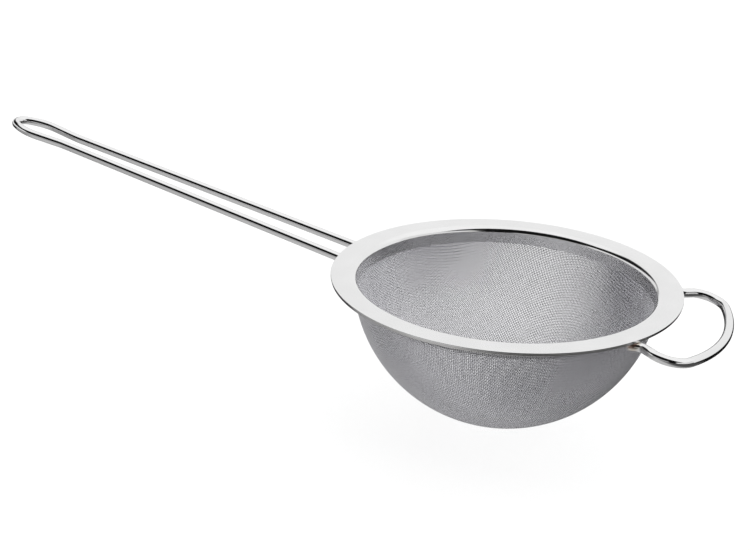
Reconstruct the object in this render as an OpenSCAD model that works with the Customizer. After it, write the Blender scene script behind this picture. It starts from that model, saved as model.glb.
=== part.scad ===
// Tea strainer: a hemispherical bowl of woven steel wire in a flat pressed
// rim, with a long handle of bent round wire and a wire rest opposite it.
// Millimetres, +Z up. The origin is the centre of the flat underside of the
// rim, where it sits on a cup. The handle runs towards -X, the rest to +X.

/* [Rim] */
// Outside diameter of the flat rim
rim_d = 93; // [88:0.5:98]
// Clear diameter of the mouth inside the collar
mouth_d = 78.8; // [76:0.2:80]
// Sheet thickness of the top ring
rim_sheet = 0.4; // [0.3:0.05:0.5]
// Sheet thickness of the clamp ring below it
clamp_sheet = 0.5; // [0.4:0.05:0.6]
// Radius of the rolled corner at the mouth
mouth_bend = 1.9; // [1.7:0.1:2.1]
// How far the collar hangs below the underside of the rim
collar_drop = 3.8; // [3:0.1:6]
// How far the skirt of the clamp ring hangs below the underside of the rim
skirt_drop = 2.2; // [1.5:0.1:2.8]

/* [Bowl] */
// Thickness of the woven cloth
cloth = 0.45; // [0.4:0.05:0.5]
// How much the round bowl's outside radius exceeds the cloth's at the collar
bowl_swell = 0.4; // [0.2:0.05:3]

/* [Handle] */
// Diameter of the round wire of the handle and the rest
wire_d = 2.4; // [2:0.1:2.8]
// How steeply the handle rises, in degrees
handle_rise = 9.8; // [4:0.2:14]
// Half the distance between the handle's legs at the rim
leg_half_gap = 5.2; // [4.6:0.1:6]
// Half the distance between the legs where the eye begins
neck_half_gap = 3.7; // [3.2:0.1:4.2]
// Half the widest width of the hanging eye
eye_half_gap = 4.7; // [4.5:0.1:5.2]
// Distance along the handle from the ends of its legs to the neck of the eye
neck_s = 100; // [70:0.5:120]
// Distance from the neck to the widest place of the eye
eye_run = 11.7; // [10:0.1:14]
// Distance from the widest place of the eye to its tip
tip_run = 9.1; // [8:0.1:10]

/* [Rest] */
// How steeply the rest slopes down, in degrees
rest_fall = 8.5; // [0:0.5:14]
// Half the widest width of the rest
rest_half_w = 22.6; // [21:0.1:23]
// How far the middle of the rest's front stands out from the rim's centre
rest_reach = 58.8; // [57:0.1:61]

/* [Hidden] */
$fn = 96;
ring_fn = 240;
wire_fn = 16;
steel = "#dcdde0";
cloth_grey = "#9a9aa0";
tint = "#c9bfae";

wire_r = wire_d / 2;
rim_r = rim_d / 2;
mouth_r = mouth_d / 2;
rim_top = clamp_sheet + rim_sheet;
collar_out_r = mouth_r + rim_sheet;
cloth_out_r = collar_out_r + cloth;

// The clamp ring's edge stops a little inside the top ring's edge.
clamp_edge_r = rim_r - 0.1;
clamp_bend = mouth_bend - rim_sheet - cloth;

// The cloth's upper edge is gripped between the collar and the skirt, just
// below the rolled corner.
cloth_edge_z = rim_top - mouth_bend - 0.05;
bowl_r = cloth_out_r + bowl_swell;

// The bowl is the shell between two balls with one centre. They meet the
// cloth's straight neck at the lower edge of the collar.
bowl_z = -collar_drop + sqrt(pow(bowl_r, 2) - pow(cloth_out_r, 2));
bowl_in_r = sqrt(pow(collar_out_r, 2) + pow(collar_drop + bowl_z, 2));

// Handle, laid out flat: s runs outward along it from the ends of its legs
// and w across it. It is folded upward just outside the rim.
handle_start_x = -(rim_r - 4.3);
handle_fold_s = 4.3;
handle_fold_r = 5;
handle_fold_run = 1.2;
leg_angle = atan2(neck_half_gap - leg_half_gap, neck_s - handle_fold_s);
leg_start = [0, leg_half_gap - handle_fold_s * tan(leg_angle)];
neck_bend_r = 20;
eye_side_r = 15;
eye_s = neck_s + eye_run;
tip_s = eye_s + tip_run;
neck_c = [neck_s, neck_half_gap] + neck_bend_r * across(leg_angle);
eye_c = [eye_s, eye_half_gap - eye_side_r];
eye_gap = eye_c - neck_c;
flare_angle = atan2(eye_gap[1], eye_gap[0]) + asin((neck_bend_r + eye_side_r) / norm(eye_gap));
tip_r = (pow(eye_side_r, 2) - pow(eye_c[1], 2) - pow(tip_run, 2)) / (2 * (eye_side_r - tip_run));
tip_c = [tip_s - tip_r, 0];
tip_angle = atan2(-eye_c[1], tip_c[0] - eye_c[0]);

// Rest, laid out flat and seen from above: a flat front arc, two round
// corners, and legs that turn in to the rim and then out again into short
// feet. It is folded downward just outside the rim.
rest_fold_x = rim_r - 1.6;
rest_fold_r = 6;
front_r = 45;
corner_r = 6.5;
foot_bend_r = 2.6;
leg_turn = 36;
foot_turn = 12;
foot_len = 2.0;
knee_to_foot = 1.8;
front_c = [rest_reach - front_r, 0];
corner_y = rest_half_w - corner_r;
corner_c = [front_c[0] + sqrt(pow(front_r - corner_r, 2) - pow(corner_y, 2)), corner_y];
front_angle = atan2(corner_y, corner_c[0] - front_c[0]);
foot_from = corner_c + corner_r * across(leg_turn) - knee_to_foot * along(leg_turn);
foot_c = foot_from + foot_bend_r * across(leg_turn);
foot_to = foot_c - foot_bend_r * across(-foot_turn);
foot_end = foot_to - foot_len * along(-foot_turn);

// Weld beads: round puddles around the ends of the wires.
bead_r = 1.5;
bead_z = -0.5;
bead_setback = 0.6;

// Unit vector at an angle, and the one square to it on its left.
function along(a) = [cos(a), sin(a)];
function across(a) = [-sin(a), cos(a)];

// Points of an arc, from angle a0 to angle a1.
function arc_points(c, r, a0, a1, n = 12) = [for (i = [0:n]) c + r * along(a0 + (a1 - a0) * i / n)];

// Points along a straight line, both ends included.
function line_points(from, to, n) = [for (i = [0:n]) from + (to - from) * i / n];

// A flat path is folded up by an angle across its length, round a bend of
// radius r that begins at s = from. Gives the new distance along and height.
function folded(s, from, r, angle) =
    let (bend_len = r * angle * PI / 180, turned = min(max(s - from, 0) / bend_len, 1) * angle)
    let (past = max(s - from - bend_len, 0))
    [min(s, from) + r * sin(turned) + past * cos(angle), r * (1 - cos(turned)) + past * sin(angle)];

// The other half of a path that is symmetric across the line w = 0, so that
// both halves run from one end to the other. The last point is on that line.
function both_sides(half) =
    concat(half, [for (i = [len(half) - 2:-1:0]) [half[i][0], -half[i][1]]]);

function unit(v) = v / norm(v);

// Direction of a path at point i.
function heading(path, i) = unit(path[min(i + 1, len(path) - 1)] - path[max(i - 1, 0)]);

// Circle of points around a path, at point i.
function wire_ring(path, i) =
    let (t = heading(path, i), side = unit(cross([0, 0, 1], t)), up = cross(t, side))
    [for (k = [0:wire_fn - 1]) path[i] + wire_r * (cos(360 * k / wire_fn) * side + sin(360 * k / wire_fn) * up)];

// Round wire that follows a path of points.
module wire(path) {
    last = (len(path) - 1) * wire_fn;
    points = [for (i = [0:len(path) - 1]) each wire_ring(path, i)];
    sides = [
        for (i = [0:len(path) - 2], k = [0:wire_fn - 1])
            let (a = i * wire_fn + k, b = i * wire_fn + (k + 1) % wire_fn)
            [a, a + wire_fn, b + wire_fn, b]
    ];
    start_cap = [for (k = [0:wire_fn - 1]) k];
    end_cap = [for (k = [wire_fn - 1:-1:0]) last + k];
    polyhedron(points = points, faces = concat([start_cap, end_cap], sides), convexity = 6);
}

// Sheet ring: a flat flange with a rolled corner and a wall hanging from its
// inner edge. It is the outline between an upper and a lower surface.
module sheet_ring(edge_r, wall_r, top_z, wall_z, sheet, bend) {
    c = [wall_r + bend, top_z - bend];
    rotate_extrude($fn = ring_fn)
        polygon(concat(
            [[edge_r, top_z - sheet], [edge_r, top_z]],
            arc_points(c, bend, 90, 180),
            [[wall_r, wall_z], [wall_r + sheet, wall_z]],
            arc_points(c, bend - sheet, 180, 90)
        ));
}

module rim_ring() {
    color(steel)
        sheet_ring(rim_r, mouth_r, rim_top, -collar_drop, rim_sheet, mouth_bend);
}

module clamp_ring() {
    color(steel)
        sheet_ring(clamp_edge_r, cloth_out_r, clamp_sheet, -skirt_drop, clamp_sheet, clamp_bend);
}

// Solid of the bowl: a ball trimmed to a short straight neck at its top.
module bowl_solid(r, neck_r, neck_top) {
    intersection() {
        translate([0, 0, bowl_z])
            sphere(r = r, $fn = ring_fn);
        translate([0, 0, -2 * bowl_r])
            cylinder(r = neck_r, h = 2 * bowl_r + neck_top, $fn = ring_fn);
    }
}

module mesh_bowl() {
    color(cloth_grey)
        difference() {
            bowl_solid(bowl_r, cloth_out_r, cloth_edge_z);
            bowl_solid(bowl_in_r, collar_out_r, 1);
        }
}

handle_half = concat(
    [leg_start],
    line_points(
        [handle_fold_s, leg_half_gap],
        [handle_fold_s + handle_fold_run, leg_half_gap + handle_fold_run * tan(leg_angle)], 4
    ),
    arc_points(neck_c, neck_bend_r, leg_angle - 90, flare_angle - 90, 3),
    arc_points(eye_c, eye_side_r, flare_angle + 90, tip_angle, 6),
    [for (p = arc_points(tip_c, tip_r, tip_angle, 0, 7)) if (p[1] < tip_r * sin(tip_angle) - 0.01) p]
);

function handle_point(p) =
    let (f = folded(p[0], handle_fold_s, handle_fold_r, handle_rise))
    [handle_start_x - f[0], p[1], f[1] - wire_r];

module handle_wire() {
    color(steel)
        wire([for (p = both_sides(handle_half)) handle_point(p)]);
}

rest_half = concat(
    [foot_end],
    arc_points(foot_c, foot_bend_r, -90 - foot_turn, leg_turn - 90, 8),
    arc_points(corner_c, corner_r, 90 + leg_turn, front_angle, 14),
    [for (p = arc_points(front_c, front_r, front_angle, 0, 7)) if (p[1] < corner_y) p]
);

function rest_point(p) =
    let (f = folded(p[0], rest_fold_x, rest_fold_r, rest_fall))
    [f[0], p[1], -f[1] - wire_r];

module rest_wire() {
    color(steel)
        wire([for (p = both_sides(rest_half)) rest_point(p)]);
}

// A weld bead around the end of a wire that lies under the rim. The wire ends
// at p and comes from the direction a.
module weld_bead(p, a) {
    c = p + bead_setback * along(a);
    cut = 3 * bead_r;
    color(tint)
        difference() {
            translate([c[0], c[1], bead_z])
                sphere(r = bead_r, $fn = 48);
            translate([c[0] - cut, c[1] - cut, 0])
                cube([2 * cut, 2 * cut, cut]);
            translate([p[0], p[1], -wire_r])
                rotate([0, 90, a])
                    cylinder(r = wire_r, h = cut, $fn = 48);
        }
}

handle_end = [handle_start_x, leg_start[1]];

module handle_weld_left() {
    mirror([0, 1, 0])
        weld_bead(handle_end, 180 - leg_angle);
}

module handle_weld_right() {
    weld_bead(handle_end, 180 - leg_angle);
}

module rest_weld_left() {
    mirror([0, 1, 0])
        weld_bead(foot_end, -foot_turn);
}

module rest_weld_right() {
    weld_bead(foot_end, -foot_turn);
}

rim_ring();
clamp_ring();
mesh_bowl();
handle_wire();
rest_wire();
handle_weld_left();
handle_weld_right();
rest_weld_left();
rest_weld_right();
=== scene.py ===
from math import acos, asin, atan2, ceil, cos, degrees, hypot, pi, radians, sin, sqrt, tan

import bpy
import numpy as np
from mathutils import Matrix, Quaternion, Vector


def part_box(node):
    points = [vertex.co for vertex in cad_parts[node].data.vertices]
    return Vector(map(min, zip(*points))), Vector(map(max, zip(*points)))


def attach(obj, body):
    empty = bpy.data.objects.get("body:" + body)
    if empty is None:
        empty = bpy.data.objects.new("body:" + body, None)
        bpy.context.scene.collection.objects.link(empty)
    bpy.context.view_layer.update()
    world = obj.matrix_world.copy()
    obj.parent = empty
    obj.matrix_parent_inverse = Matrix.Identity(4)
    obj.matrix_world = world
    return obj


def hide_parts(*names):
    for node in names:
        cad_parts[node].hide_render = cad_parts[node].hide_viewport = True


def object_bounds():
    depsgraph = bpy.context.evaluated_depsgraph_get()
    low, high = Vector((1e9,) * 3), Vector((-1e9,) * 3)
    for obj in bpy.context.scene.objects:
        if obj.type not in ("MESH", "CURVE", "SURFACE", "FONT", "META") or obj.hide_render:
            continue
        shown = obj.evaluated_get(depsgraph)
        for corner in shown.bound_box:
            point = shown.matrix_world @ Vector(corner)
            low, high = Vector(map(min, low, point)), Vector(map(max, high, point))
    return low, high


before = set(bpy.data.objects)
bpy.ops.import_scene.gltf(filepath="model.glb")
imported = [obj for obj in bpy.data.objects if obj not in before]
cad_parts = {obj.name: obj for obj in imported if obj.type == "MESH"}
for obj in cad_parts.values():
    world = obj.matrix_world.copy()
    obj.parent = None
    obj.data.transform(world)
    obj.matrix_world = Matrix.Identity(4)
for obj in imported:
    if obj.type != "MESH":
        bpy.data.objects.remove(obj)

# A tea strainer: a bowl of woven steel wire gripped in a pressed rim, with a
# long handle of bent round wire and a wire rest opposite it. The CAD nodes
# give the parts' places and outer sizes, and the other sizes repeat those of
# the CAD source. The pieces made here stand for the nodes with finer shapes:
# real woven wires, smooth round wires and rounded sheet edges.

CAD_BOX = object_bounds()
MM = 0.001


# ---------------------------------------------------------------- sizes, mm

def node_box(node):
    """Lowest and highest corner of a CAD node, in millimetres."""
    low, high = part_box(node)
    return np.array(low) / MM, np.array(high) / MM


RIM_LOW, RIM_HIGH = node_box("rim_ring")
CLAMP_LOW, CLAMP_HIGH = node_box("clamp_ring")
BOWL_LOW, _ = node_box("mesh_bowl")

RIM_R = RIM_HIGH[0]
RIM_TOP = RIM_HIGH[2]
COLLAR_LOW = RIM_LOW[2]
MOUTH_R = 39.4
RIM_SHEET = 0.4
MOUTH_BEND = 1.9
RING_SEGMENTS = 360
CLAMP_R = CLAMP_HIGH[0]
CLAMP_SHEET = CLAMP_HIGH[2]
SKIRT_LOW = CLAMP_LOW[2]
CLOTH = 0.45
CLAMP_BEND = MOUTH_BEND - RIM_SHEET - CLOTH
SKIRT_R = MOUTH_R + RIM_SHEET + CLOTH

# The cloth's middle surface is part of a ball.
BALL_OUT_R = 40.65
BALL_Z = BOWL_LOW[2] + BALL_OUT_R
BALL_R = BALL_OUT_R - CLOTH / 2
NECK_R = MOUTH_R + RIM_SHEET + CLOTH / 2

WIRE_R = 1.2


# ---------------------------------------------------------------- mesh tools

def add_piece(name, mesh, material, replaces):
    """Turns a mesh into a piece on the part's only body, in place of CAD nodes."""
    mesh.validate()
    mesh.polygons.foreach_set("use_smooth", np.full(len(mesh.polygons), True))
    mesh.materials.append(material)
    piece = bpy.data.objects.new(name, mesh)
    bpy.context.scene.collection.objects.link(piece)
    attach(piece, "root")
    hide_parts(*replaces)


def make_quad_piece(name, points, quads, material, replaces):
    """A piece from points in millimetres and an array of quads."""
    mesh = bpy.data.meshes.new(name)
    points = np.asarray(points, float) * MM
    quads = np.asarray(quads, np.int32)
    mesh.vertices.add(len(points))
    mesh.vertices.foreach_set("co", points.astype(np.float32).ravel())
    mesh.loops.add(quads.size)
    mesh.loops.foreach_set("vertex_index", quads.ravel())
    mesh.polygons.add(len(quads))
    mesh.polygons.foreach_set("loop_start", np.arange(len(quads), dtype=np.int32) * 4)
    mesh.update(calc_edges=True)
    add_piece(name, mesh, material, replaces)


def make_closed_piece(name, points, rows, columns, ends, material, replaces):
    """A piece from rows of points in millimetres that go round, closed at both
    ends by triangles that meet in a point."""
    first_end, last_end = rows * columns, rows * columns + 1
    last_row = (rows - 1) * columns
    faces = [list(quad) for quad in grid_faces(rows, columns, close_columns=True)]
    for k in range(columns):
        after = (k + 1) % columns
        faces.append([first_end, after, k])
        faces.append([last_end, last_row + k, last_row + after])
    mesh = bpy.data.meshes.new(name)
    points = np.vstack([points, ends]) * MM
    mesh.from_pydata([tuple(p) for p in points], [], [[int(i) for i in face] for face in faces])
    add_piece(name, mesh, material, replaces)


def grid_faces(rows, columns, close_rows=False, close_columns=False):
    """Quads of a grid of points, row by row, either way closed into a loop."""
    r = np.arange(rows if close_rows else rows - 1)
    c = np.arange(columns if close_columns else columns - 1)
    r, c = np.meshgrid(r, c, indexing="ij")
    up, right = (r + 1) % rows, (c + 1) % columns
    quads = [r * columns + c, r * columns + right, up * columns + right, up * columns + c]
    return np.stack([q.ravel() for q in quads], 1)


def arc(centre, radius, start, end, steps):
    """Points of an arc in a plane, between two angles in degrees."""
    angles = np.radians(np.linspace(start, end, steps + 1))
    return [[centre[0] + radius * cos(a), centre[1] + radius * sin(a)] for a in angles]


def rounded_outline(corners):
    """Closed outline from (point, radius) corners: each corner becomes an arc,
    with a point close to each end of it that keeps the flats flat."""
    degrees_per_step, widest_guard = 9, 0.12
    out = []
    count = len(corners)
    for k, (point, radius) in enumerate(corners):
        point = np.array(point, float)
        before = np.array(corners[k - 1][0], float) - point
        after = np.array(corners[(k + 1) % count][0], float) - point
        before /= np.linalg.norm(before)
        after /= np.linalg.norm(after)
        half = acos(float(np.clip(before @ after, -1, 1))) / 2
        reach = radius / tan(half)
        middle = before + after
        centre = point + middle / np.linalg.norm(middle) * radius / sin(half)
        start, end = point + before * reach - centre, point + after * reach - centre
        a0, a1 = atan2(start[1], start[0]), atan2(end[1], end[0])
        turn = (a1 - a0 + pi) % (2 * pi) - pi
        steps = max(4, ceil(abs(degrees(turn)) / degrees_per_step))
        guard = min(0.5 * radius, widest_guard)
        out.append(point + before * (reach + guard))
        for i in range(steps + 1):
            a = a0 + turn * i / steps
            out.append(centre + radius * np.array([cos(a), sin(a)]))
        out.append(point + after * (reach + guard))
    return np.array(out)


def lathe(name, outline, material, replaces):
    """Ring swept from a closed outline of (radius, height) points."""
    angles = 2 * pi * np.arange(RING_SEGMENTS) / RING_SEGMENTS
    radius, height = outline[:, 0], outline[:, 1]
    x = np.cos(angles)[:, None] * radius
    y = np.sin(angles)[:, None] * radius
    z = np.broadcast_to(height, x.shape)
    points = np.stack([x, y, z], 2).reshape(-1, 3)
    quads = grid_faces(RING_SEGMENTS, len(outline), close_rows=True, close_columns=True)
    make_quad_piece(name, points, quads, material, replaces)


# ---------------------------------------------------------------- wire paths

def along(angle):
    return np.array([cos(radians(angle)), sin(radians(angle))])


def across(angle):
    return np.array([-sin(radians(angle)), cos(radians(angle))])


def folded(s, start, radius, angle):
    """Distance along and height of a flat path that is folded up by an angle."""
    bend = radius * radians(angle)
    turned = min(max(s - start, 0) / bend, 1) * radians(angle)
    past = max(s - start - bend, 0)
    return (min(s, start) + radius * sin(turned) + past * cos(radians(angle)),
            radius * (1 - cos(turned)) + past * sin(radians(angle)))


def line_to(a, b, steps):
    return [list(np.array(a) + (np.array(b) - np.array(a)) * i / steps) for i in range(steps + 1)]


def joined(*runs):
    """One path from several runs of points, without doubled points."""
    same_place = 1e-4
    path = []
    for run in runs:
        for p in run:
            if not path or np.linalg.norm(np.array(p) - path[-1]) > same_place:
                path.append(np.array(p, float))
    return path


def both_sides(half):
    """A path and its mirror image across the line w = 0."""
    return half + [np.array([p[0], -p[1]]) for p in half[-2::-1]]


def handle_path():
    """Centreline of the handle's wire: two legs that draw together to a neck
    and open into a long drop-shaped eye with a narrow tip."""
    start_x = -(RIM_R - 4.3)
    fold_s, fold_r, rise = 4.3, 5.0, 9.8
    leg_gap, neck_gap, eye_gap = 5.2, 3.7, 4.7
    neck_s, eye_run, tip_run = 100.0, 11.7, 9.1
    neck_r, side_r = 20.0, 15.0
    leg = degrees(atan2(neck_gap - leg_gap, neck_s - fold_s))
    leg_start = [0, leg_gap - fold_s * tan(radians(leg))]
    eye_s = neck_s + eye_run
    neck_c = np.array([neck_s, neck_gap]) + neck_r * across(leg)
    side_c = np.array([eye_s, eye_gap - side_r])
    gap = side_c - neck_c
    flare = degrees(atan2(gap[1], gap[0]) + asin((neck_r + side_r) / hypot(*gap)))
    tip_r = (side_r**2 - side_c[1]**2 - tip_run**2) / (2 * (side_r - tip_run))
    tip_c = np.array([eye_s + tip_run - tip_r, 0])
    tip_angle = degrees(atan2(-side_c[1], tip_c[0] - side_c[0]))
    bend = fold_r * radians(rise)
    neck = neck_c + neck_r * along(leg - 90)
    slope = tan(radians(leg))
    half = joined(
        line_to(leg_start, [fold_s, leg_gap], 8),
        line_to([fold_s, leg_gap], [fold_s + bend, leg_gap + bend * slope], 8),
        line_to([fold_s + bend, leg_gap + bend * slope], neck, 60),
        arc(neck_c, neck_r, leg - 90, flare - 90, 12),
        arc(side_c, side_r, flare + 90, tip_angle, 24),
        arc(tip_c, tip_r, tip_angle, 0, 20),
    )
    points = []
    for s, w in both_sides(half):
        run, height = folded(s, fold_s, fold_r, rise)
        points.append([start_x - run, w, height - WIRE_R])
    return np.array(points)


def rest_path():
    """Centreline of the rest's wire: a D-shaped loop whose legs turn in to the
    rim and out again into short feet."""
    fold_x, fold_r, fall = RIM_R - 1.6, 6.0, 8.5
    reach, half_w = 58.8, 22.6
    front_r, corner_r, foot_r = 45.0, 6.5, 2.6
    leg_turn, foot_turn, foot_len, knee = 36.0, 12.0, 2.0, 1.8
    front_c = np.array([reach - front_r, 0])
    corner_y = half_w - corner_r
    corner_c = np.array([front_c[0] + sqrt((front_r - corner_r)**2 - corner_y**2), corner_y])
    front = degrees(atan2(corner_y, corner_c[0] - front_c[0]))
    foot_from = corner_c + corner_r * across(leg_turn) - knee * along(leg_turn)
    foot_c = foot_from + foot_r * across(leg_turn)
    foot_to = foot_c - foot_r * across(-foot_turn)
    foot_end = foot_to - foot_len * along(-foot_turn)
    half = joined(
        line_to(foot_end, foot_to, 6),
        arc(foot_c, foot_r, -90 - foot_turn, leg_turn - 90, 14),
        line_to(foot_from, foot_from + knee * along(leg_turn), 4),
        arc(corner_c, corner_r, 90 + leg_turn, front, 30),
        arc(front_c, front_r, front, 0, 24),
    )
    points = []
    for x, y in both_sides(half):
        run, height = folded(x, fold_x, fold_r, fall)
        points.append([run, y, -height - WIRE_R])
    return np.array(points)


def sweep(name, path, material, replaces):
    """Round wire along a path, with a small rounding at both cut ends."""
    sides, edge, beyond_edge, end_clearance = 32, 0.18, 0.05, 0.35
    heads = path[1] - path[0], path[-1] - path[-2]
    heads = [h / np.linalg.norm(h) for h in heads]
    rounding = [(edge * (1 - cos(a)), WIRE_R - edge * (1 - sin(a))) for a in np.radians([0, 30, 60, 90])]
    end_r = WIRE_R - edge * 1.6
    rings = [(path[0], end_r)]
    rings += [(path[0] + heads[0] * d, r) for d, r in rounding]
    rings += [(path[0] + heads[0] * (edge + beyond_edge), WIRE_R)]
    first = len(rings)
    for p in path:
        if min(np.linalg.norm(p - path[0]), np.linalg.norm(p - path[-1])) > end_clearance:
            rings.append((p, WIRE_R))
    last = len(rings)
    rings += [(path[-1] - heads[1] * (edge + beyond_edge), WIRE_R)]
    rings += [(path[-1] - heads[1] * d, r) for d, r in rounding[::-1]]
    rings += [(path[-1], end_r)]
    centres = np.array([c for c, _ in rings])
    tangents = np.empty_like(centres)
    tangents[:first] = heads[0]
    tangents[last:] = heads[1]
    for i in range(first, last):
        t = centres[i + 1] - centres[i - 1]
        tangents[i] = t / np.linalg.norm(t)
    side = np.cross([0, 0, 1], tangents)
    side /= np.linalg.norm(side, axis=1)[:, None]
    up = np.cross(tangents, side)
    phi = 2 * pi * np.arange(sides) / sides
    radii = np.array([r for _, r in rings])[:, None, None]
    ring = np.cos(phi)[None, :, None] * side[:, None] + np.sin(phi)[None, :, None] * up[:, None]
    points = (centres[:, None] + radii * ring).reshape(-1, 3)
    ends = [centres[0], centres[-1]]
    make_closed_piece(name, points, len(rings), sides, ends, material, replaces)


# ---------------------------------------------------------------- welds

BEAD_R = 1.5
BEAD_Z = -0.5


def bead_centre(node):
    """Centre of a weld's ball. The wire leaves it on the side away from the axis."""
    low, high = node_box(node)
    x = low[0] + BEAD_R if low[0] > 0 else high[0] - BEAD_R
    return np.array([x, (low[1] + high[1]) / 2, BEAD_Z])


def weld_bead(name, centre, material, node):
    """Rippled puddle of weld metal that spreads out against the rim's underside."""
    rows, columns, ripple, top = 18, 40, 0.05, -0.01
    points = []
    for i in range(rows):
        dip = pi * (i + 0.5) / rows
        for k in range(columns):
            turn = 2 * pi * k / columns
            swell = 1 - ripple + ripple * sin(5 * turn + 3 * dip) * sin(dip)
            flat, height = BEAD_R * swell * sin(dip), BEAD_R * swell * cos(dip)
            x, y = centre[0] + flat * cos(turn), centre[1] + flat * sin(turn)
            points.append([x, y, min(centre[2] + height, top)])
    ends = [[centre[0], centre[1], top], [centre[0], centre[1], centre[2] - (1 - ripple) * BEAD_R]]
    make_closed_piece(name, points, rows, columns, ends, material, [node])


# ---------------------------------------------------------------- woven cloth

PITCH = 0.4875
THREAD_R = 0.11
CRIMP = 0.95 * THREAD_R
THREAD_SIDES = 5
CLOTH_TOP = -1.2
BANDS = 6


def net_quadrant(count):
    """Crossings of one quarter of a cloth pressed onto the ball. Neighbouring
    crossings stay one pitch apart, as in real cloth, so its squares turn into
    rhombs towards the rim. Points are relative to the ball's centre."""
    step = 2 * asin(PITCH / (2 * BALL_R))
    nodes = np.full((count, count, 3), np.nan)
    for i in range(count):
        a = i * step
        nodes[i, 0] = [BALL_R * sin(a), 0, -BALL_R * cos(a)]
        nodes[0, i] = [0, BALL_R * sin(a), -BALL_R * cos(a)]
    square = BALL_R**2
    c = square - PITCH**2 / 2
    for i in range(1, count):
        for j in range(1, count):
            a, b = nodes[i - 1, j], nodes[i, j - 1]
            if np.isnan(a[0]) or np.isnan(b[0]):
                continue
            dot = a @ b
            middle = c * (square - dot) / (square**2 - dot**2) * (a + b)
            normal = np.cross(a, b)
            normal /= np.linalg.norm(normal)
            rest = square - middle @ middle
            if rest < 0:
                continue
            reach = sqrt(rest)
            back = nodes[i - 1, j - 1]
            ends = middle + reach * normal, middle - reach * normal
            best = max(ends, key=lambda p: np.linalg.norm(p - back))
            if best[2] < 0:
                nodes[i, j] = best
    return nodes


def thread_points(nodes, keep, parity):
    """Centreline of one thread from its crossings, two points for each: it lies
    flat over or under the thread that it crosses, and slants in between."""
    fractions = (-0.25, 0.25)
    out = []
    shortest_step = 0.05
    count = len(nodes)
    for k in range(count):
        if not keep[k]:
            continue
        over = 1 if (k + parity) % 2 == 0 else -1
        for f in fractions:
            other = k + (1 if f > 0 else -1)
            if 0 <= other < count and keep[other]:
                p = nodes[k] + (nodes[other] - nodes[k]) * abs(f)
            else:
                p = nodes[k]
            normal = p / np.linalg.norm(p)
            p = normal * (BALL_R + over * CRIMP)
            z = p[2] + BALL_Z
            if z > COLLAR_LOW:
                flat = hypot(p[0], p[1])
                p[:2] *= min(1, NECK_R / flat)
            out.append([p[0], p[1], z])
    out = np.array(out)
    gaps = np.linalg.norm(np.diff(out, axis=0), axis=1)
    return out[np.concatenate([[True], gaps > shortest_step])]


def thread_tube(path):
    """Points and faces of a thin round tube along a thread."""
    tangents = np.gradient(path, axis=0)
    tangents /= np.linalg.norm(tangents, axis=1)[:, None]
    outward = path - np.array([0, 0, BALL_Z])
    side = np.cross(tangents, outward)
    side /= np.linalg.norm(side, axis=1)[:, None]
    up = np.cross(side, tangents)
    phi = 2 * pi * (np.arange(THREAD_SIDES) + 0.5) / THREAD_SIDES
    ring = np.cos(phi)[None, :, None] * up[:, None] + np.sin(phi)[None, :, None] * side[:, None]
    points = (path[:, None] + THREAD_R * ring).reshape(-1, 3)
    return points, grid_faces(len(path), THREAD_SIDES, close_columns=True)


def woven_cloth(material):
    """The bowl's cloth: threads along the handle and threads across it, which
    pass over and under each other. Each set is made in a few bands."""
    quarter = ceil(pi / 2 * BALL_R / PITCH) + 2
    nodes = net_quadrant(quarter)
    n = quarter - 1
    index = np.arange(-n, n + 1)
    ii, jj = np.meshgrid(index, index, indexing="ij")
    net = nodes[np.abs(ii), np.abs(jj)]
    net = net * np.stack([np.where(ii < 0, -1, 1), np.where(jj < 0, -1, 1), np.ones_like(ii)], 2)
    keep = ~np.isnan(net[..., 0]) & (net[..., 2] + BALL_Z < CLOTH_TOP)
    for family in ("warp", "weft"):
        grid = net if family == "warp" else net.transpose(1, 0, 2)
        kept = keep if family == "warp" else keep.T
        tubes = []
        for row in range(len(index)):
            if kept[row].sum() < 3:
                continue
            path = thread_points(grid[row], kept[row], row + (family == "weft"))
            if len(path) > 3:
                tubes.append(thread_tube(path))
        total = sum(len(f) for _, f in tubes)
        groups, done = [[] for _ in range(BANDS)], 0
        for tube in tubes:
            groups[min(BANDS - 1, int(BANDS * done / total))].append(tube)
            done += len(tube[1])
        for k, group in enumerate(groups):
            offsets = np.cumsum([0] + [len(p) for p, _ in group[:-1]])
            points = np.vstack([p for p, _ in group])
            faces = np.vstack([f + o for (_, f), o in zip(group, offsets)])
            make_quad_piece(f"cloth_{family}_{k + 1}", points, faces, material, ["mesh_bowl"])


# ---------------------------------------------------------------- materials

def new_material(name):
    material = bpy.data.materials.new(name)
    material.use_nodes = True
    tree = material.node_tree
    return material, tree, tree.nodes["Principled BSDF"]


def ramp_between(tree, source, low, high, from_low=0.0, from_high=1.0):
    """Map Range from one span of values to another."""
    node = tree.nodes.new("ShaderNodeMapRange")
    node.inputs["From Min"].default_value = from_low
    node.inputs["From Max"].default_value = from_high
    node.inputs["To Min"].default_value = low
    node.inputs["To Max"].default_value = high
    tree.links.new(source, node.inputs["Value"])
    return node.outputs["Result"]


def noise(tree, vector, scale, detail=3.0, roughness=0.5, stretch=(1, 1, 1)):
    """Noise whose scale counts per millimetre, stretched along an axis where
    that axis is scaled below one."""
    mapping = tree.nodes.new("ShaderNodeMapping")
    mapping.inputs["Scale"].default_value = [scale / MM * s for s in stretch]
    tree.links.new(vector, mapping.inputs["Vector"])
    node = tree.nodes.new("ShaderNodeTexNoise")
    node.inputs["Scale"].default_value = 1.0
    node.inputs["Detail"].default_value = detail
    node.inputs["Roughness"].default_value = roughness
    tree.links.new(mapping.outputs["Vector"], node.inputs["Vector"])
    return node.outputs["Fac"]


def bump(tree, height, strength, distance):
    node = tree.nodes.new("ShaderNodeBump")
    node.inputs["Strength"].default_value = strength
    node.inputs["Distance"].default_value = distance * MM
    tree.links.new(height, node.inputs["Height"])
    return node.outputs["Normal"]


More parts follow.
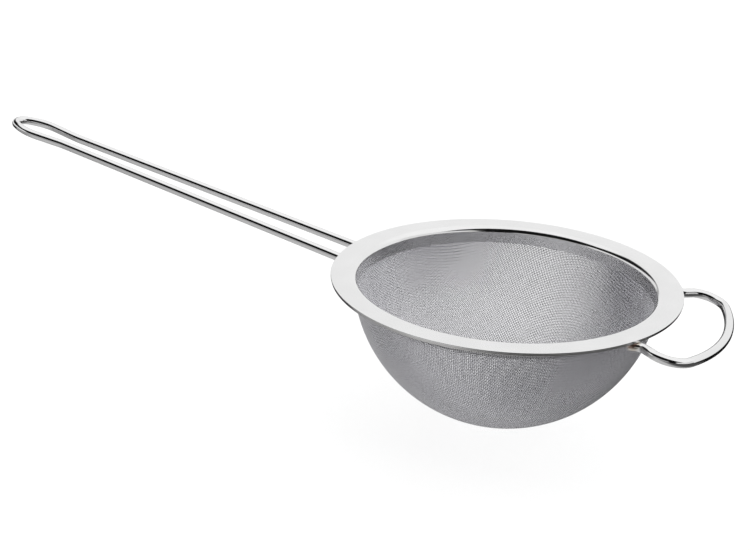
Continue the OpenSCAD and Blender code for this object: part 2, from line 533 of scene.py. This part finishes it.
def calc(tree, operation, *values):
    """Math node; each value is a number or another node's output."""
    node = tree.nodes.new("ShaderNodeMath")
    node.operation = operation
    for value, socket in zip(values, node.inputs):
        if isinstance(value, (int, float)):
            socket.default_value = value
        else:
            tree.links.new(value, socket)
    return node.outputs[0]


def colours(tree, source, *stops):
    """Colour ramp from (place, colour) stops."""
    node = tree.nodes.new("ShaderNodeValToRGB")
    elements = node.color_ramp.elements
    while len(elements) < len(stops):
        elements.new(0.5)
    for element, (place, colour) in zip(elements, stops):
        element.position = place
        element.color = (*colour, 1)
    tree.links.new(source, node.inputs["Fac"])
    return node.outputs["Color"]


def sheet_steel(name, colour, polish, satin, satin_below, edge_r):
    """Pressed sheet: mirror-polished above, drawn to a satin grey on the wall
    below the bend, faintly cloudy all over and rubbed along its outer edge."""
    wall_fade, rubbed_width = 0.7, 0.5
    material, tree, shader = new_material(name)
    place = tree.nodes.new("ShaderNodeTexCoord").outputs["Object"]
    split = tree.nodes.new("ShaderNodeSeparateXYZ")
    tree.links.new(place, split.inputs["Vector"])
    x, y, z = (split.outputs[axis] for axis in "XYZ")
    radius = calc(tree, "SQRT", calc(tree, "MULTIPLY_ADD", x, x, calc(tree, "MULTIPLY", y, y)))
    cloud = noise(tree, place, 0.12)
    wall = ramp_between(tree, z, 1.0, 0.0, (satin_below - wall_fade) * MM, satin_below * MM)
    rubbed = ramp_between(tree, radius, 0.0, 1.0, (edge_r - rubbed_width) * MM, edge_r * MM)
    grain = noise(tree, place, 1.1, detail=4, stretch=(1, 1, 0.25))
    rough = ramp_between(tree, cloud, *polish, 0.35, 0.65)
    rough = calc(tree, "MULTIPLY_ADD", wall, ramp_between(tree, grain, *satin, 0.3, 0.7), rough)
    rough = calc(tree, "MULTIPLY_ADD", calc(tree, "MULTIPLY", rubbed, grain), 0.06, rough)
    tree.links.new(rough, shader.inputs["Roughness"])
    shader.inputs["Metallic"].default_value = 1.0
    darker = tuple(0.965 * c for c in colour)
    tree.links.new(colours(tree, cloud, (0.35, darker), (0.65, colour)), shader.inputs["Base Color"])
    ripple = noise(tree, place, 0.35, detail=2)
    height = calc(tree, "MULTIPLY_ADD", calc(tree, "MULTIPLY", grain, wall), 0.8, ripple)
    tree.links.new(bump(tree, height, 0.07, 0.02), shader.inputs["Normal"])
    return material


def weld_tint(tree, place, near, far):
    """One close to a weld and none beyond, from distances in millimetres."""
    nearest = None
    for centre in WELDS.values():
        node = tree.nodes.new("ShaderNodeVectorMath")
        node.operation = "DISTANCE"
        tree.links.new(place, node.inputs[0])
        node.inputs[1].default_value = centre * MM
        distance = node.outputs["Value"]
        nearest = distance if nearest is None else calc(tree, "MINIMUM", nearest, distance)
    return ramp_between(tree, nearest, 1.0, 0.0, near * MM, far * MM)


def rod_steel(name, colour):
    """Drawn round wire: bright, with fine lines along it, and faintly straw
    and brown from the heat near the welds."""
    material, tree, shader = new_material(name)
    place = tree.nodes.new("ShaderNodeTexCoord").outputs["Object"]
    cloud = noise(tree, place, 0.5)
    lines = noise(tree, place, 2.4, detail=3, stretch=(0.12, 1, 1))
    patches = ramp_between(tree, noise(tree, place, 0.9), 0.25, 1.0, 0.35, 0.6)
    heat = calc(tree, "MULTIPLY", weld_tint(tree, place, 1.3, 2.6), patches)
    straw, brown = (0.66, 0.60, 0.53), (0.34, 0.24, 0.20)
    tinted = colours(tree, heat, (0.0, colour), (0.45, straw), (1.0, brown))
    tree.links.new(tinted, shader.inputs["Base Color"])
    shader.inputs["Metallic"].default_value = 1.0
    rough = ramp_between(tree, cloud, 0.035, 0.08, 0.35, 0.65)
    rough = calc(tree, "MULTIPLY_ADD", lines, 0.03, rough)
    tree.links.new(calc(tree, "MULTIPLY_ADD", heat, 0.18, rough), shader.inputs["Roughness"])
    tree.links.new(bump(tree, lines, 0.05, 0.01), shader.inputs["Normal"])
    return material


def weld_steel():
    """Weld metal: rippled, dull, brown and straw from the heat."""
    material, tree, shader = new_material("weld_steel")
    place = tree.nodes.new("ShaderNodeTexCoord").outputs["Object"]
    blotch = noise(tree, place, 0.8, detail=4)
    burnt, brown, bare = (0.22, 0.13, 0.10), (0.42, 0.34, 0.30), (0.78, 0.77, 0.76)
    tinted = colours(tree, blotch, (0.40, burnt), (0.54, brown), (0.66, bare))
    tree.links.new(tinted, shader.inputs["Base Color"])
    shader.inputs["Metallic"].default_value = 1.0
    tree.links.new(ramp_between(tree, blotch, 0.42, 0.16, 0.35, 0.65), shader.inputs["Roughness"])
    tree.links.new(bump(tree, noise(tree, place, 2.0), 0.3, 0.06), shader.inputs["Normal"])
    return material


def cloth_steel():
    """Fine bright wire, a little dull and uneven."""
    material, tree, shader = new_material("woven_steel")
    place = tree.nodes.new("ShaderNodeTexCoord").outputs["Object"]
    shader.inputs["Base Color"].default_value = (0.91, 0.906, 0.935, 1)
    shader.inputs["Metallic"].default_value = 1.0
    broad = noise(tree, place, 0.4, detail=1)
    tree.links.new(ramp_between(tree, broad, 0.22, 0.4, 0.3, 0.7), shader.inputs["Roughness"])
    return material


# ---------------------------------------------------------------- build

WELDS = {name: bead_centre(name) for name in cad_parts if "_weld_" in name}

RIM_STEEL = sheet_steel("rim_steel", (0.83, 0.83, 0.83), (0.10, 0.15), (0.12, 0.22), -0.6, RIM_R)
CLAMP_STEEL = sheet_steel("clamp_steel", (0.74, 0.73, 0.72), (0.16, 0.24), (0.1, 0.2), -0.6, CLAMP_R)
ROD_STEEL = rod_steel("rod_steel", (0.82, 0.82, 0.82))
WELD_STEEL = weld_steel()
CLOTH_STEEL = cloth_steel()

wall_in, wall_out = MOUTH_R, MOUTH_R + RIM_SHEET
lathe("rim_top_sheet", rounded_outline([
    ((RIM_R, RIM_TOP - RIM_SHEET), 0.06),
    ((RIM_R, RIM_TOP), 0.10),
    ((wall_in, RIM_TOP), MOUTH_BEND),
    ((wall_in, COLLAR_LOW), 0.08),
    ((wall_out, COLLAR_LOW), 0.08),
    ((wall_out, RIM_TOP - RIM_SHEET), MOUTH_BEND - RIM_SHEET),
]), RIM_STEEL, ["rim_ring"])
lathe("rim_clamp_sheet", rounded_outline([
    ((CLAMP_R, 0), 0.16),
    ((CLAMP_R, CLAMP_SHEET), 0.08),
    ((SKIRT_R, CLAMP_SHEET), CLAMP_BEND),
    ((SKIRT_R, SKIRT_LOW), 0.1),
    ((SKIRT_R + CLAMP_SHEET, SKIRT_LOW), 0.1),
    ((SKIRT_R + CLAMP_SHEET, 0), CLAMP_BEND - CLAMP_SHEET),
]), CLAMP_STEEL, ["clamp_ring"])

sweep("handle_rod", handle_path(), ROD_STEEL, ["handle_wire"])
sweep("rest_rod", rest_path(), ROD_STEEL, ["rest_wire"])
woven_cloth(CLOTH_STEEL)

for name, centre in WELDS.items():
    weld_bead(name.replace("_weld_", "_bead_"), centre, WELD_STEEL, name)


# ---------------------------------------------------------------- stage

def make_floor():
    """A wide pale floor, so bright that hardly any shadow shows on it. The
    steel doesn't mirror it and mirrors the studio's light instead."""
    gap, reach = 0.3 * MM, 4.0
    level = CAD_BOX[0][2] - gap
    corners = [(x * reach, y * reach, level) for x, y in ((-1, -1), (1, -1), (1, 1), (-1, 1))]
    mesh = bpy.data.meshes.new("floor")
    mesh.from_pydata(corners, [], [(0, 1, 2, 3)])
    floor = bpy.data.objects.new("floor", mesh)
    bpy.context.scene.collection.objects.link(floor)
    material, tree, shader = new_material("floor_paper")
    shader.inputs["Base Color"].default_value = (0.35, 0.35, 0.35, 1)
    shader.inputs["Roughness"].default_value = 0.9
    shader.inputs["Specular IOR Level"].default_value = 0.0
    shader.inputs["Emission Color"].default_value = (1, 1, 1, 1)
    shader.inputs["Emission Strength"].default_value = 0.85
    mesh.materials.append(material)
    floor.visible_glossy = False
    floor.visible_diffuse = False
    floor.visible_shadow = False


def make_studio():
    """Soft light as in a small product studio, painted on the world by
    direction: a bright roof, a white back wall, a low pale card at the left, a
    low grey card in front, a soft box at the right, a grey table that falls off
    towards its sides and its back, and a dark room between them. The camera
    itself sees plain white. The levels are rounded and were chosen one by one."""
    world = bpy.data.worlds.new("studio")
    bpy.context.scene.world = world
    world.use_nodes = True
    tree = world.node_tree
    tree.nodes.clear()
    split = tree.nodes.new("ShaderNodeSeparateXYZ")
    tree.links.new(tree.nodes.new("ShaderNodeTexCoord").outputs["Generated"], split.inputs["Vector"])
    x, y, z = (split.outputs[axis] for axis in "XYZ")

    def edge(value, outside, inside, lowest=0.0, highest=1.0):
        """Soft step from one level to another across an edge."""
        node = tree.nodes.new("ShaderNodeMapRange")
        node.interpolation_type = "SMOOTHSTEP"
        limits = (("From Min", outside), ("From Max", inside), ("To Min", lowest), ("To Max", highest))
        for name, number in limits:
            node.inputs[name].default_value = number
        tree.links.new(value, node.inputs["Value"])
        return node.outputs["Result"]

    def sum_of(value, factor, other):
        return calc(tree, "MULTIPLY_ADD", value, factor, other)

    roof = (1.05, edge(sum_of(z, 0.4, y), -0.03, 0.03), edge(sum_of(x, 0.15, z), 0.56, 0.64))
    back_wall = (0.97, edge(y, 0.3, 0.42), edge(z, -0.10, -0.02), edge(x, -0.70, -0.57))
    left_card = (0.90, edge(x, -0.6, -0.75), edge(z, -0.06, 0.02), edge(z, 0.36, 0.28))
    front_card = (0.50, edge(y, -0.1, -0.2), edge(z, -0.06, 0.0), edge(z, 0.26, 0.18), edge(x, 0.35, 0.2))
    right_box = (0.85, edge(x, 0.62, 0.74), edge(z, 0.04, 0.12), edge(z, 0.50, 0.42))
    table = (0.57, edge(z, -0.04, -0.10), edge(x, 0.6, -0.1, 0.42, 1.0), edge(x, -0.8, -0.5, 0.6, 1.0),
             edge(sum_of(x, -0.3, sum_of(z, 1.0, y)), 0.0, -0.12, 0.08, 1.0),
             edge(sum_of(x, 0.8, z), -0.3, -0.6, 0.35, 1.0))
    level = 0.006
    for strength, *edges in (roof, back_wall, left_card, front_card, right_box, table):
        for soft in edges:
            strength = calc(tree, "MULTIPLY", strength, soft)
        level = calc(tree, "MAXIMUM", level, strength)
    light = tree.nodes.new("ShaderNodeBackground")
    tree.links.new(level, light.inputs["Color"])
    white = tree.nodes.new("ShaderNodeBackground")
    white.inputs["Color"].default_value = (1, 1, 1, 1)
    path = tree.nodes.new("ShaderNodeLightPath")
    mix = tree.nodes.new("ShaderNodeMixShader")
    tree.links.new(path.outputs["Is Camera Ray"], mix.inputs["Fac"])
    tree.links.new(light.outputs["Background"], mix.inputs[1])
    tree.links.new(white.outputs["Background"], mix.inputs[2])
    out = tree.nodes.new("ShaderNodeOutputWorld")
    tree.links.new(mix.outputs["Shader"], out.inputs["Surface"])


def make_camera():
    """The photo's camera, fitted to the ellipses of the rim and to the wires."""
    camera = bpy.data.cameras.new("camera")
    camera.lens = 64.8
    camera.sensor_width = 36.0
    camera.clip_start = 0.01
    view = bpy.data.objects.new("camera", camera)
    bpy.context.scene.collection.objects.link(view)
    place = Vector((109.12, -315.83, 134.56)) * MM
    target = Vector((-31.37, -14.93, 0.27)) * MM
    roll = radians(2.45)
    view.location = place
    turn = (target - place).to_track_quat("-Z", "Y") @ Quaternion((0, 0, 1), roll)
    view.rotation_euler = turn.to_euler()
    bpy.context.scene.camera = view


make_camera()
make_floor()
make_studio()
bpy.context.scene.view_settings.view_transform = "Standard"

# Denoising from colour alone: with the default passes, long blotches show in
# the woven cloth. Some softer patches stay at few samples.
bpy.context.scene.cycles.denoising_input_passes = "RGB"
